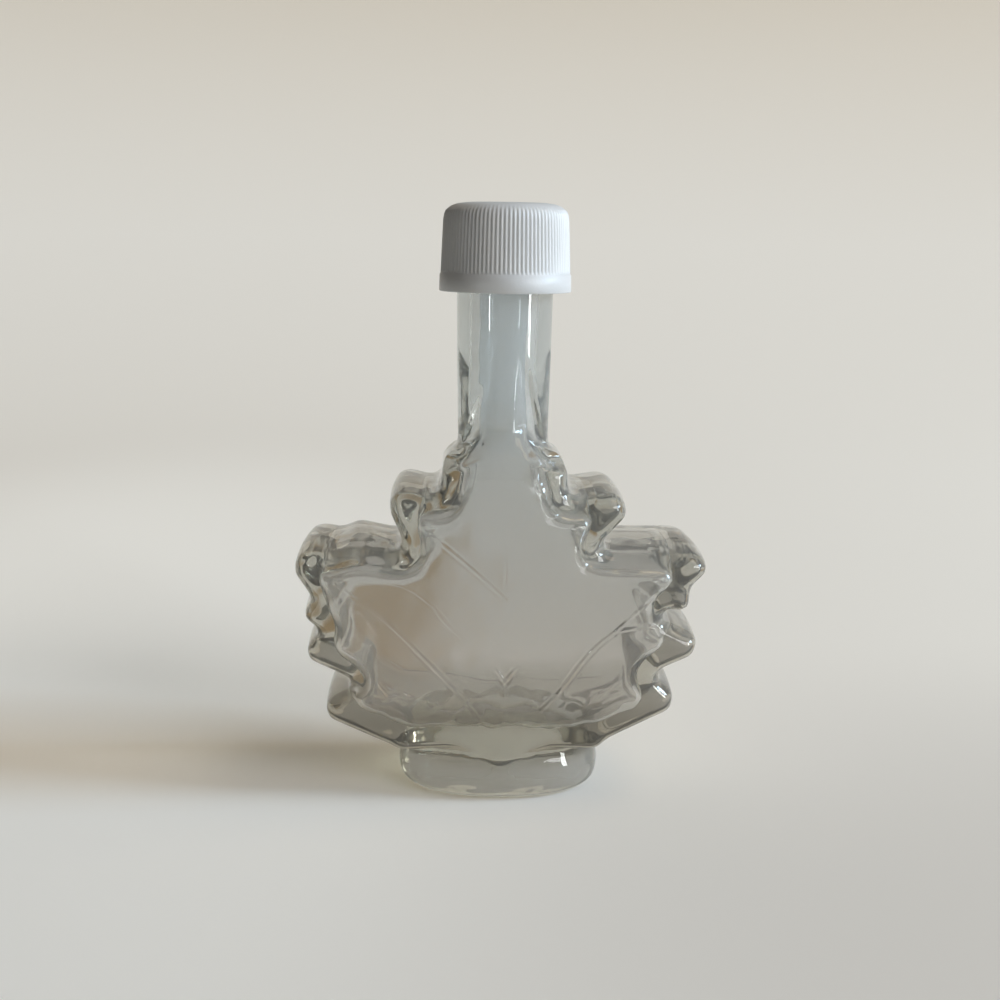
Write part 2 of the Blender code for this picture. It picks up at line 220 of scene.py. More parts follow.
VEIN_EASINGS, VEIN_EASE = 2, 0.25  # how often a line's corners are cut, and how deep
VEIN_BAND = 0.85  # how far from a vein the mesh is made finer
VEIN_CUTS = 3
VEIN_WIDTH = 0.22
VEIN_HEIGHT = 0.19
VEIN_GROOVE = (0.17, 0.48, 0.2)  # the grooves beside it: depth, distance from the middle line, and width
VEIN_FADE = (3.0, 1.02)  # how fast a vein runs out at its end, and where
FACE_BAND = 0.4  # what lies less than this below a face of the leaf belongs to the face

# The leaf's top point runs up into the neck as a spire, between two hollows: (height, half width).
SPIRE = ((62.0, 12.0), (63.0, 7.3), (64.5, 4.7), (67.0, 2.9), (69.0, 2.2), (72.0, 1.9))
SPIRE_FLANK = 2.2
SPIRE_RISE = ((66.0, 0.0), (70.0, 0.75), (76.0, 0.55), (83.0, 0.0))  # how far it stands off the neck
SPIRE_TOP = (1.6, 2.7)  # its half width on top and at its foot, on the neck
HOLLOW_OVAL = (12.9, 8.3)  # half the width and depth of the hollows' floor
HOLLOW_RIM = 0.05  # keeps the floor from closing beyond the oval's ends
HOLLOW_RISE = (61.5, 64.0)

# The valleys beside the spire on the neck's front, on the right (1) and on the left (-1):
# (height, middle, half width, depth) from bottom to top.
VALLEYS = {
    1: (
        (64.0, 6.3, 1.9, 0.0),
        (66.0, 5.9, 1.8, 0.95),
        (70.0, 5.0, 1.5, 0.92),
        (76.0, 3.9, 1.1, 0.75),
        (82.5, 3.2, 0.6, 0.0),
    ),
    -1: (
        (64.0, 6.2, 1.9, 0.0),
        (66.0, 5.8, 1.8, 0.95),
        (70.0, 4.8, 1.4, 0.9),
        (74.0, 3.9, 1.0, 0.65),
        (78.0, 3.2, 0.6, 0.0),
    ),
}
VALLEY_SIDE = 0.35

# The leaf is wider at the mould's parting line than at its faces: by how much, what part of it stands
# out, between which heights, and over how much height it starts and ends.
SWELL = 0.7
SWELL_OUT = 0.45
SWELL_HEIGHTS = (12.0, 62.0)
SWELL_START, SWELL_END = 4.0, 6.0

# The cap: rings of (radius, height, rib depth) from the band's foot to the crown.
RIBS = 94
RIB_WAVE = (0.0, 0.15, 0.85, 1.0, 0.85, 0.15)  # the groove's depth round one rib
RING_POINTS = RIBS * len(RIB_WAVE)
CAP_RINGS = (
    (12.05, 93.8, 0.0),
    (12.15, 93.92, 0.0),
    (12.1, 96.85, 0.0),
    (11.93, 97.0, 0.0),
    (11.9, 97.25, 0.0),
    (11.9, 97.7, 0.24),
    (11.72, 102.0, 0.25),
    (11.52, 106.6, 0.25),
    (11.36, 107.6, 0.2),
    (11.1, 108.25, 0.12),
    (10.7, 108.65, 0.06),
    (10.0, 109.15, 0.0),
    (9.0, 109.52, 0.0),
    (7.4, 109.74, 0.0),
    (4.0, 109.8, 0.0),
)
CAP_INSIDE = ((10.2, 108.5), (10.45, 108.2), (10.45, 94.3), (10.7, 92.8))

# The clear glass. Its colour is given at shares of its height: duller just above the foot, which is painted
# shade, and faintly blue at the neck, which is a painted reflection of the bluish window light.
GLASS_HEIGHT = 0.11
GLASS_TINTS_AND_PAINTED_LIGHT = (
    (0.050, (0.86, 0.87, 0.87)),
    (0.077, (0.57, 0.55, 0.51)),
    (0.140, (0.57, 0.55, 0.51)),
    (0.180, (0.785, 0.767, 0.743)),
    (0.550, (0.715, 0.73, 0.733)),
    (0.680, (0.73, 0.775, 0.81)),
)
GLASS_INDEX = 1.42
GLASS_CLEARNESS = 0.9
GLASS_DEPTH_COLOUR = (0.76, 0.75, 0.68, 1)  # what thick glass tends to
GLASS_DENSITY = 52.0
GLASS_RIPPLE = (110.0, 2.0, 0.55)  # scale, detail and roughness
RIPPLE_DEPTH, RIPPLE_STRENGTH = 0.0004, 0.3
SHADOW_MIDDLE = (0.70, 0.66, 0.58, 1)  # the light let through where the skin faces it, and at its edges
SHADOW_EDGE = (0.24, 0.20, 0.15, 1)
SHADOW_BLEND = 0.5

# The cap's white plastic.
PLASTIC_COLOUR = (0.595, 0.605, 0.61, 1)
PLASTIC_GLOW, PLASTIC_GLOW_DEPTH = 0.6, 0.002  # how much light spreads inside it, and how far
PLASTIC_ROUGHNESS = 0.42
PLASTIC_INDEX = 1.49
PLASTIC_GRAIN = (2500.0, 2.0)  # scale and detail
GRAIN_DEPTH, GRAIN_STRENGTH = 0.00005, 0.4

# The studio, in metres.
COVE_RINGS = (0.0, 0.1, 0.25)  # the radii of rings on the flat part of the floor
COVE_FLAT, COVE_REACH, COVE_HEIGHT, COVE_STEPS = 0.4, 1.6, 0.46, 32
PLASTER_ROUGHNESS, PLASTER_SHEEN = 0.9, 0.2
PLASTER_COLOUR = (0.9, 0.858, 0.79, 1)
# Soft round spots on the floor, as place, reach and colour: painted light, painted shade and a painted
# reflection.
# A painted pool of light on the left of the floor.
PAINTED_LIGHT_SPOT = ((-0.12, 0.08, 0.0), (0.17, 0.4, 0.3), (1.0, 0.965, 0.9, 1))
# Painted shade on the floor at the right front.
PAINTED_SHADE_SPOT = ((0.12, -0.1, 0.0), (0.17, 0.2, 0.2), (0.74, 0.7, 0.645, 1))
# A warm painted reflection: a spot on the floor that is only seen through the glass.
PAINTED_WARM_REFLECTION = ((-0.043, 0.15, 0.0), (0.05, 0.19, 0.2), (0.50, 0.32, 0.12, 1))
SPOT_FADE = 0.7  # the part of a spot's reach over which it fades
# Painted shade: the wall is darkened towards its top.
PAINTED_WALL_SHADE = (0.1, 0.4, (0.88, 0.84, 0.78, 1))  # between these heights the wall takes on this colour
SCREEN_REACH, SCREEN_FOOT, SCREEN_TOP = 0.17, 0.025, 0.6
SCREEN_ARC, SCREEN_STEPS = (150, 275), 24  # the arc in degrees
SCREEN_COLOUR = (0.02, 0.013, 0.008, 1)
# The dim surround that the studio stands in.
SURROUND_COLOUR = (1.0, 0.95, 0.865)
SURROUND_LIGHT, SURROUND_SEEN = 0.3, 0.36  # as a light, and as it is seen
# Soft lights: (degrees round from the front to the right, degrees up), distance, size, power, colour.
LIGHTS = {
    "window": ((84, 24), 3.0, (0.9, 0.6), 66.0, (0.59, 0.79, 1.0)),
    "front_window": ((50, 22), 3.0, (1.6, 1.2), 50.0, (0.97, 0.98, 1.0)),
    "ceiling": ((90, 62), 3.0, (1.4, 1.4), 12.0, (1.0, 0.78, 0.5)),
}
# Narrow lights close beside the bottle, which only show in the glass.
STRIPS = {
    "right_strip": ((60, 15), 0.45, (0.05, 0.18), 0.62, (0.95, 1.0, 1.0)),
    "left_strip": ((-37, 33), 0.16, (0.005, 0.022), 0.014, (0.95, 1.0, 1.0)),
}
SEEN_THROUGH = ("right_strip",)  # also shows through the glass
AIM = (0.0, 0.0, 0.04)
CAMERA_PLACE = (-0.00033, -0.252, 0.104)
CAMERA_SIDE, CAMERA_PITCH, CAMERA_ROLL = 1.8, 11.1, 0.9  # degrees round the bottle, down and over
CAMERA_LENS, CAMERA_SENSOR, CAMERA_NEAR = 48.67, 36.0, 0.01


def new_object(name, data):
    obj = bpy.data.objects.new(name, data)
    bpy.context.scene.collection.objects.link(obj)
    return obj


def mesh_from(bm, name):
    mesh = bpy.data.meshes.new(name)
    bm.to_mesh(mesh)
    bm.free()
    return mesh


def finished(obj):
    """The object's mesh with its modifiers applied, and the object gone."""
    bpy.context.view_layer.update()
    graph = bpy.context.evaluated_depsgraph_get()
    mesh = bpy.data.meshes.new_from_object(obj.evaluated_get(graph))
    bpy.data.objects.remove(obj, do_unlink=True)
    return mesh


def smooth_step(value, low, high):
    """From 0 to 1 between two values, easing in and out."""
    share = min(max((value - low) / (high - low), 0.0), 1.0)
    return share * share * (3 - 2 * share)


def slab(right, left, bottom, half_depth, edge_radius):
    """A leaf outline with rounded corners, extruded from front to back, its rims rounded."""
    corners = list(right) + list(bottom) + [(-x, z, radius) for x, z, radius in reversed(left)]
    bm = bmesh.new()
    verts = [bm.verts.new((x, -half_depth, z)) for x, z, radius in corners]
    bm.faces.new(verts)
    places = [vert.co.copy() for vert in verts]
    for index, (vert, (x, z, radius)) in enumerate(zip(verts, corners)):
        if radius == 0.0:
            continue
        before = places[index - 1] - places[index]
        after = places[(index + 1) % len(places)] - places[index]
        bmesh.ops.bevel(
            bm,
            geom=[vert],
            offset=radius / math.tan(before.angle(after) / 2),
            segments=CORNER_STEPS,
            profile=ROUND,
            material=-1,
            affect="VERTICES",
        )
    made = bmesh.ops.extrude_face_region(bm, geom=bm.faces[:])["geom"]
    back = [item for item in made if isinstance(item, bmesh.types.BMVert)]
    bmesh.ops.translate(bm, vec=(0, 2 * half_depth, 0), verts=back)
    bmesh.ops.recalc_face_normals(bm, faces=bm.faces)
    rims = [edge for edge in bm.edges if abs(edge.verts[0].co.y - edge.verts[1].co.y) < half_depth]
    bmesh.ops.bevel(
        bm,
        geom=rims,
        offset=edge_radius,
        segments=EDGE_STEPS,
        profile=ROUND,
        material=-1,
        affect="EDGES",
        clamp_overlap=False,
    )
    return bm


def thin_towards_neck(bm, low, high, share):
    """Narrows a slab from front to back, smoothly between two heights."""
    for cut in range(SHOULDER_CUTS + 1):
        height = low + (high - low) * cut / SHOULDER_CUTS
        geometry = bm.verts[:] + bm.edges[:] + bm.faces[:]
        bmesh.ops.bisect_plane(
            bm, geom=geometry, dist=ON_PLANE, plane_co=(0, 0, height), plane_no=Z_AXIS
        )
    for vert in bm.verts:
        vert.co.y *= 1 + (share - 1) * smooth_step(vert.co.z, low, high)


def spun(line):
    """A line of (radius, height) points, spun once round the axis."""
    bm = bmesh.new()
    verts = [bm.verts.new((radius, 0.0, height)) for radius, height in line]
    edges = [bm.edges.new(pair) for pair in zip(verts, verts[1:])]
    bmesh.ops.spin(
        bm,
        geom=verts + edges,
        axis=Z_AXIS,
        cent=(0, 0, 0),
        angle=FULL_TURN,
        steps=TURN_STEPS,
        use_merge=True,
    )
    bmesh.ops.remove_doubles(bm, verts=bm.verts, dist=SAME_POINT)
    return bm


def turned(profile):
    """A turned solid, its profile closed at the axis."""
    return spun([(0.0, profile[0][1]), *profile, (0.0, profile[-1][1])])


def thread(radius, tube, start, turns):
    """A round ridge that climbs round the neck's axis."""
    bm = bmesh.new()
    place = Matrix.Translation((radius, 0, start)) @ Matrix.Rotation(math.radians(90), 4, "X")
    ring = bmesh.ops.create_circle(bm, segments=THREAD_SIDES, radius=tube, matrix=place)["verts"]
    bmesh.ops.spin(
        bm,
        geom=ring + bm.edges[:],
        axis=Z_AXIS,
        cent=(0, 0, 0),
        dvec=(0, 0, THREAD_PITCH / THREAD_STEPS),
        angle=turns * FULL_TURN,
        steps=round(turns * THREAD_STEPS),
    )
    bmesh.ops.holes_fill(bm, edges=bm.edges[:], sides=0)
    bmesh.ops.recalc_face_normals(bm, faces=bm.faces)
    return bm


def knot(face):
    """The stem's end on the foot, on the front (-1) or back (1)."""
    bm = bmesh.new()
    bmesh.ops.create_cube(bm, size=1.0)
    bmesh.ops.scale(bm, vec=KNOT_SIZE, verts=bm.verts)
    bmesh.ops.bevel(
        bm,
        geom=bm.edges[:],
        offset=KNOT_BEVEL,
        segments=KNOT_BEVEL_STEPS,
        profile=ROUND,
        material=-1,
        affect="EDGES",
    )
    bmesh.ops.translate(bm, vec=(0, face * KNOT_PLACE[0], KNOT_PLACE[1]), verts=bm.verts)
    return bm


def joined(parts):
    """One bmesh that holds all the parts, each a closed shape facing out."""
    whole = bmesh.new()
    for part in parts:
        bmesh.ops.recalc_face_normals(part, faces=part.faces)
        mesh = mesh_from(part, "part")
        whole.from_mesh(mesh)
        bpy.data.meshes.remove(mesh)
    return whole


def fused(bm, voxel, softening):
    """One skin round overlapping shapes, with the seams between them softened as in a mould."""
    obj = new_object("fused", mesh_from(bm, "fused"))
    remesh = obj.modifiers.new("Fuse", "REMESH")
    remesh.mode = "VOXEL"
    remesh.voxel_size = voxel
    remesh.use_smooth_shade = True
    smooth = obj.modifiers.new("Soften", "SMOOTH")
    smooth.factor = SOFTENING_STEP
    smooth.iterations = softening
    mesh = finished(obj)
    fresh = bmesh.new()
    fresh.from_mesh(mesh)
    bpy.data.meshes.remove(mesh)
    return fresh


def eased(line):
    """A vein's line with its corners cut off, again and again."""
    points = np.array(line)
    for _ in range(VEIN_EASINGS):
        low = points[:-1] * (1 - VEIN_EASE) + points[1:] * VEIN_EASE
        high = points[:-1] * VEIN_EASE + points[1:] * (1 - VEIN_EASE)
        middle = np.stack([low, high], axis=1).reshape(-1, 2)
        points = np.vstack([points[:1], middle, points[-1:]])
    return points


def nearest(places, line):
    """Each place's distance from the line, and how far along the line it lies, from 0 to 1."""
    best = np.full(len(places), np.inf)
    share = np.zeros(len(places))
    count = len(line) - 1
    for index in range(count):
        start, along = line[index], line[index + 1] - line[index]
        t = np.clip(((places - start) @ along) / (along @ along), 0, 1)
        away = np.linalg.norm(places - start - t[:, None] * along, axis=1)
        closer = away < best
        best[closer] = away[closer]
        share[closer] = (index + t[closer]) / count
    return best, share


def raise_veins(bm, veins, face):
    """Makes the mesh finer along the veins on the front (-1) or back (1), and lifts thin ridges there."""
    lines = [eased(line) for _, line in veins]
    flat = [f for f in bm.faces if f.calc_center_median().y * face > HALF_DEPTH - FACE_BAND]
    centres = np.array([f.calc_center_median().xz for f in flat])
    near = np.min([nearest(centres, line)[0] for line in lines], axis=0) < VEIN_BAND
    chosen = {edge for f, close in zip(flat, near) if close for edge in f.edges}
    bmesh.ops.subdivide_edges(bm, edges=list(chosen), cuts=VEIN_CUTS, use_grid_fill=True)
    verts = [vert for vert in bm.verts if vert.co.y * face > HALF_DEPTH - FACE_BAND]
    places = np.array([vert.co.xz for vert in verts])
    ridge = np.zeros(len(verts))
    groove = np.zeros(len(verts))
    depth, beside, width = VEIN_GROOVE
    fade_speed, fade_end = VEIN_FADE
    for (strength, _), line in zip(veins, lines):
        away, share = nearest(places, line)
        fade = strength * np.minimum(1.0, fade_speed * (fade_end - share))
        ridge = np.maximum(ridge, fade * np.exp(-((away / VEIN_WIDTH) ** 2)))
        groove = np.maximum(groove, fade * np.exp(-(((away - beside) / width) ** 2)))
    rise = VEIN_HEIGHT * ridge - depth * groove
    for vert, lift in zip(verts, rise):
        vert.co.y += face * lift


def squared(bm, power):
    """Moves the foot's oval skin out between its axes."""
    for vert in bm.verts:
        angle = math.atan2(vert.co.y / FOOT_FLATTEN, vert.co.x)
        out = (abs(math.cos(angle)) ** power + abs(math.sin(angle)) ** power) ** (-1 / power)
        vert.co.x *= out
        vert.co.y *= out


def swell(bm, low, high):
    """Bows the leaf's rim out at the mould's parting line and in at its two faces, between two heights."""
    bm.normal_update()
    for vert in bm.verts:
        start = min(max((vert.co.z - low) / SWELL_START, 0.0), 1.0)
        end = min(max((high - vert.co.z) / SWELL_END, 0.0), 1.0)
        depth = min(abs(vert.co.y) / HALF_DEPTH, 1.0)
        shift = SWELL * (start * end) * (SWELL_OUT - depth * depth)
        vert.co += Vector((vert.normal.x, 0, vert.normal.z)) * shift


def carve_hollows(bm):
    """Presses in the leaf's shoulders on both sides of the spire."""
    heights, widths = zip(*SPIRE)
    for vert in bm.verts:
        x, y, z = vert.co
        if z < HOLLOW_RISE[0] or z > SPIRE[-1][0]:
            continue
        edge = float(np.interp(z, heights, widths))
        press = smooth_step(abs(x), edge, edge + SPIRE_FLANK) * smooth_step(z, *HOLLOW_RISE)
        floor = HOLLOW_OVAL[1] * math.sqrt(max(1 - (x / HOLLOW_OVAL[0]) ** 2, HOLLOW_RIM))
        if abs(y) > floor:
            vert.co.y = math.copysign(floor + (abs(y) - floor) * (1 - press), y)


def raise_spire(bm):
    """Lets the spire stand off the neck, lower and lower until it is gone."""
    heights, rises = zip(*SPIRE_RISE)
    for vert in bm.verts:
        if SPIRE_RISE[0][0] < vert.co.z < SPIRE_RISE[-1][0]:
            rise = float(np.interp(vert.co.z, heights, rises))
            rise *= 1 - smooth_step(abs(vert.co.x), *SPIRE_TOP)
            vert.co.y += math.copysign(rise, vert.co.y)


def carve_valleys(bm):
    """Presses a narrowing valley into the neck's front on each side of the spire."""
    shapes = {side: [np.array(column) for column in zip(*rows)] for side, rows in VALLEYS.items()}
    for vert in [vert for vert in bm.verts if vert.co.y < 0]:
        heights, *columns = shapes[1 if vert.co.x > 0 else -1]
        if heights[0] < vert.co.z < heights[-1]:
            middle, half_width, depth = (float(np.interp(vert.co.z, heights, column)) for column in columns)
            away = abs(abs(vert.co.x) - middle)
            press = 1 - smooth_step(away, half_width - VALLEY_SIDE, half_width + VALLEY_SIDE)
            vert.co.y += depth * press


def soften(bm, verts):
    bmesh.ops.smooth_vert(
        bm, verts=verts, factor=SOFTENING_STEP, use_axis_x=True, use_axis_y=True, use_axis_z=True
    )


def crisp_floor(bm, rounds, low, high):
    """Softens the room's skin often, but less and less of it towards its floor."""
    for step in range(rounds):
        start = low + (high - low) * step / rounds
        soften(bm, [vert for vert in bm.verts if vert.co.z > start])


def polish_foot(bm):
    """Evens out the foot's skin, through which the floor is seen much enlarged."""
    top, rounds = FOOT_POLISH
    verts = [vert for vert in bm.verts if vert.co.z < top]
    for _ in range(rounds):
        soften(bm, verts)


def uneven(bm, size, amount, top=math.inf):
    """Moves the skin in and out a little, as in blown glass, up to a height if one is given."""
    bm.normal_update()
    verts = [vert for vert in bm.verts if vert.co.z < top]
    shifts = [vert.normal * noise.noise(vert.co / size) * amount for vert in verts]
    for vert, shift in zip(verts, shifts):
        vert.co += shift * min((top - vert.co.z) / FLOOR_FADE, 1.0)


def combined(name, skin, changes):
    """A skin's mesh, after each change has joined another closed shape to it or cut one out of it."""
    body = new_object(name, mesh_from(skin, name))
    others = []
    for operation, other_name, shape in changes:
        other = new_object(other_name, mesh_from(shape, other_name))
        others.append(other)
        modifier = body.modifiers.new(operation.title(), "BOOLEAN")
        modifier.operation = operation
        modifier.solver = "MANIFOLD"
        modifier.object = other
    mesh = finished(body)
    for other in others:
        bpy.data.objects.remove(other, do_unlink=True)
    return mesh


def glass_bottle():
    """The leaf, foot, neck, knots and veins in one skin, with a thread and the room inside."""
    leaf = slab(LEAF_RIGHT, LEAF_LEFT, [LEAF_BOTTOM], HALF_DEPTH, EDGE_RADIUS)
    thin_towards_neck(leaf, *SHOULDER)
    foot = turned(FOOT)
    bmesh.ops.scale(foot, vec=(1, FOOT_FLATTEN, 1), verts=foot.verts)
    squared(foot, FOOT_SQUARENESS)
    skin = fused(joined([leaf, turned(NECK), foot, knot(-1), knot(1)]), GLASS_VOXEL, GLASS_SOFTENING)
    polish_foot(skin)
    carve_hollows(skin)
    raise_spire(skin)
    carve_valleys(skin)
    swell(skin, *SWELL_HEIGHTS)
    raise_veins(skin, FRONT_VEINS, -1)
    raise_veins(skin, BACK_VEINS, 1)

    room = slab(ROOM_RIGHT, ROOM_LEFT, [], ROOM_HALF_DEPTH, ROOM_EDGE_RADIUS)
    thin_towards_neck(room, *ROOM_SHOULDER)
    room = fused(room, ROOM_VOXEL, ROOM_FIRST_SOFTENING)
    crisp_floor(room, ROOM_SOFTENING, *ROOM_CRISP)
    space = fused(joined([room, turned(BORE)]), ROOM_VOXEL, BORE_SOFTENING)
    for size, amount in ROOM_WAVES:
        uneven(space, size, amount)
    uneven(space, *FLOOR_WAVES, FLOOR_TOP)

    ridge = thread(**NECK_THREAD)
    return combined("bottle_skin", skin, (("UNION", "ridge", ridge), ("DIFFERENCE", "hollow", space)))


def shape_ring(verts, radius, height, rib_depth):
    """Puts the points of a ring on the ribs' wave."""
    for vert in verts:
        angle = math.atan2(vert.co.y, vert.co.x)
        place = round(angle / FULL_TURN * RING_POINTS) % len(RIB_WAVE)
        reach = radius - rib_depth * RIB_WAVE[place]
        vert.co = Vector((math.cos(angle) * reach, math.sin(angle) * reach, height))


def cap_ring(bm, edges, radius, height, rib_depth):
    """Extrudes the cap's rim to its next ring, whose points follow the ribs."""
    fresh = bmesh.ops.extrude_edge_only(bm, edges=edges)["geom"]
    shape_ring([item for item in fresh if isinstance(item, bmesh.types.BMVert)], radius, height, rib_depth)
    return [item for item in fresh if isinstance(item, bmesh.types.BMEdge)]


def screw_cap():
    """A ribbed skin ring by ring, with its inside cut out and a thread put in."""
    bm = bmesh.new()
    bmesh.ops.create_circle(bm, segments=RING_POINTS, radius=1.0)
    rim = bm.edges[:]
    bmesh.ops.contextual_create(bm, geom=rim)
    shape_ring(bm.verts, *CAP_RINGS[0])
    for ring in CAP_RINGS[1:]:
        rim = cap_ring(bm, rim, *ring)
    bmesh.ops.contextual_create(bm, geom=rim)
    bmesh.ops.recalc_face_normals(bm, faces=bm.faces)
    inside = turned(CAP_INSIDE)
    bmesh.ops.recalc_face_normals(inside, faces=inside.faces)
    ridge = thread(**CAP_THREAD)
    return combined("cap_skin", bm, (("DIFFERENCE", "cap_space", inside), ("UNION", "cap_ridge", ridge)))


def place_piece(name, mesh, material, node):
    """Puts a finished piece into the frame, in metres, in the place of its CAD node."""
    mesh.transform(Matrix.Scale(MM, 4))
    mesh.materials.clear()
    mesh.materials.append(material)
    mesh.shade_smooth()
    obj = new_object(name, mesh)
    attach(obj, "root")
    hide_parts(node)


def new_material(name):
    material = bpy.data.materials.new(name)
    material.use_nodes = True
    tree = material.node_tree
    return material, tree, tree.nodes["Principled BSDF"]


def add_noise(tree, scale, detail, rough=0.5):
    coords = tree.nodes.new("ShaderNodeTexCoord")
    node = tree.nodes.new("ShaderNodeTexNoise")
    node.inputs["Scale"].default_value = scale
    node.inputs["Detail"].default_value = detail
    node.inputs["Roughness"].default_value = rough
    tree.links.new(coords.outputs["Object"], node.inputs["Vector"])
    return node


def add_bump(tree, shader, height, distance, strength):
    bump = tree.nodes.new("ShaderNodeBump")
    bump.inputs["Distance"].default_value = distance
    bump.inputs["Strength"].default_value = strength
    tree.links.new(height, bump.inputs["Height"])
    tree.links.new(bump.outputs["Normal"], shader.inputs["Normal"])


def height_share(tree, coords, low, high):
    """How far up between two heights a point lies, from 0 to 1."""
    split = tree.nodes.new("ShaderNodeSeparateXYZ")
    tree.links.new(coords.outputs["Object"], split.inputs["Vector"])
    share = tree.nodes.new("ShaderNodeMapRange")
    share.inputs["From Min"].default_value = low
    share.inputs["From Max"].default_value = high
    tree.links.new(split.outputs["Z"], share.inputs["Value"])
    return share.outputs["Result"]


def mixed(tree, share, first, second, blend="MIX"):
    """A colour that goes from the first to the second; each is a colour or a node's output."""
    mix = tree.nodes.new("ShaderNodeMix")
    mix.data_type = "RGBA"
    mix.blend_type = blend
    for name, value in (("Factor", share), ("A", first), ("B", second)):
        if isinstance(value, bpy.types.NodeSocket):
            tree.links.new(value, mix.inputs[name])
        else:
            mix.inputs[name].default_value = value
    return mix.outputs["Result"]


def clear_glass():
    """Clear glass that darkens with thickness. Its shadow is see-through, darker at the edges."""
    material, tree, shader = new_material("moulded_clear_glass")
    coords = tree.nodes.new("ShaderNodeTexCoord")
    # The base colour by height holds painted shade just above the foot and a painted reflection at the neck.
    painted_tint = tree.nodes.new("ShaderNodeValToRGB")
    for place, colour in GLASS_TINTS_AND_PAINTED_LIGHT:
        painted_tint.color_ramp.elements.new(place).color = (*colour, 1)
    painted_tint.color_ramp.elements.remove(painted_tint.color_ramp.elements[0])
    painted_tint.color_ramp.elements.remove(painted_tint.color_ramp.elements[-1])
    tree.links.new(height_share(tree, coords, 0.0, GLASS_HEIGHT), painted_tint.inputs["Fac"])
    tree.links.new(painted_tint.outputs["Color"], shader.inputs["Base Color"])
    shader.inputs["Roughness"].default_value = 0.0
    shader.inputs["IOR"].default_value = GLASS_INDEX
    shader.inputs["Transmission Weight"].default_value = GLASS_CLEARNESS
    volume = tree.nodes.new("ShaderNodeVolumeAbsorption")
    volume.inputs["Color"].default_value = GLASS_DEPTH_COLOUR
    volume.inputs["Density"].default_value = GLASS_DENSITY
    output = tree.nodes["Material Output"]
    tree.links.new(volume.outputs["Volume"], output.inputs["Volume"])
    ripple = add_noise(tree, *GLASS_RIPPLE)
    add_bump(tree, shader, ripple.outputs["Fac"], RIPPLE_DEPTH, RIPPLE_STRENGTH)
    facing = tree.nodes.new("ShaderNodeLayerWeight")
    facing.inputs["Blend"].default_value = SHADOW_BLEND
    shade = mixed(tree, facing.outputs["Facing"], SHADOW_MIDDLE, SHADOW_EDGE)
    thin = tree.nodes.new("ShaderNodeBsdfTransparent")
    tree.links.new(shade, thin.inputs["Color"])
    rays = tree.nodes.new("ShaderNodeLightPath")
    mix = tree.nodes.new("ShaderNodeMixShader")
    tree.links.new(rays.outputs["Is Shadow Ray"], mix.inputs["Fac"])
    tree.links.new(shader.outputs["BSDF"], mix.inputs[1])
    tree.links.new(thin.outputs["BSDF"], mix.inputs[2])
    tree.links.new(mix.outputs["Shader"], output.inputs["Surface"])
    return material


def white_plastic():
    """Satin plastic with a fine grain, through which some light spreads."""
    material, tree, shader = new_material("white_cap_plastic")
    shader.inputs["Base Color"].default_value = PLASTIC_COLOUR
    shader.inputs["Subsurface Weight"].default_value = PLASTIC_GLOW
    shader.inputs["Subsurface Radius"].default_value = (1.0, 1.0, 1.0)
    shader.inputs["Subsurface Scale"].default_value = PLASTIC_GLOW_DEPTH
    shader.inputs["Roughness"].default_value = PLASTIC_ROUGHNESS
    shader.inputs["IOR"].default_value = PLASTIC_INDEX
    grain = add_noise(tree, *PLASTIC_GRAIN)
    add_bump(tree, shader, grain.outputs["Fac"], GRAIN_DEPTH, GRAIN_STRENGTH)
    return material


def soft_spot(tree, coords, place, reach):
    """How much a point lies inside a soft round spot, from 0 to 1."""
    mapping = tree.nodes.new("ShaderNodeMapping")
    mapping.vector_type = "TEXTURE"
    mapping.inputs["Location"].default_value = place
    mapping.inputs["Scale"].default_value = reach
    tree.links.new(coords.outputs["Object"], mapping.inputs["Vector"])
    ball = tree.nodes.new("ShaderNodeTexGradient")
    ball.gradient_type = "SPHERICAL"
    tree.links.new(mapping.outputs["Vector"], ball.inputs["Vector"])
    soft = tree.nodes.new("ShaderNodeMapRange")
    soft.interpolation_type = "SMOOTHSTEP"
    soft.inputs["From Max"].default_value = SPOT_FADE
    tree.links.new(ball.outputs["Fac"], soft.inputs["Value"])
    return soft.outputs["Result"]


def plaster():
    """The pale floor, with a painted pool of light on the left, painted shade at the right front and towards
    the wall's top, and a warm painted reflection that is only seen through the glass.
    """
    material, tree, shader = new_material("pale_floor")
    shader.inputs["Roughness"].default_value = PLASTER_ROUGHNESS
    shader.inputs["Specular IOR Level"].default_value = PLASTER_SHEEN
    coords = tree.nodes.new("ShaderNodeTexCoord")
    colour = PLASTER_COLOUR
    # Painted light on the left and painted shade at the right front of the floor.
    for place, reach, painted_spot_colour in (PAINTED_LIGHT_SPOT, PAINTED_SHADE_SPOT):
        colour = mixed(tree, soft_spot(tree, coords, place, reach), colour, painted_spot_colour)
    # Painted shade that darkens the wall towards its top.
    low, high, wall_shade_colour = PAINTED_WALL_SHADE
    colour = mixed(tree, height_share(tree, coords, low, high), colour, wall_shade_colour, "MULTIPLY")
    # A warm painted reflection in the glass, a floor spot seen only by rays that came through it.
    place, reach, painted_reflection_colour = PAINTED_WARM_REFLECTION
    rays = tree.nodes.new("ShaderNodeLightPath")
    seen = tree.nodes.new("ShaderNodeMath")
    seen.operation = "MULTIPLY"
    tree.links.new(soft_spot(tree, coords, place, reach), seen.inputs[0])
    tree.links.new(rays.outputs["Is Transmission Ray"], seen.inputs[1])
    colour = mixed(tree, seen.outputs["Value"], colour, painted_reflection_colour)
    tree.links.new(colour, shader.inputs["Base Color"])
    return material


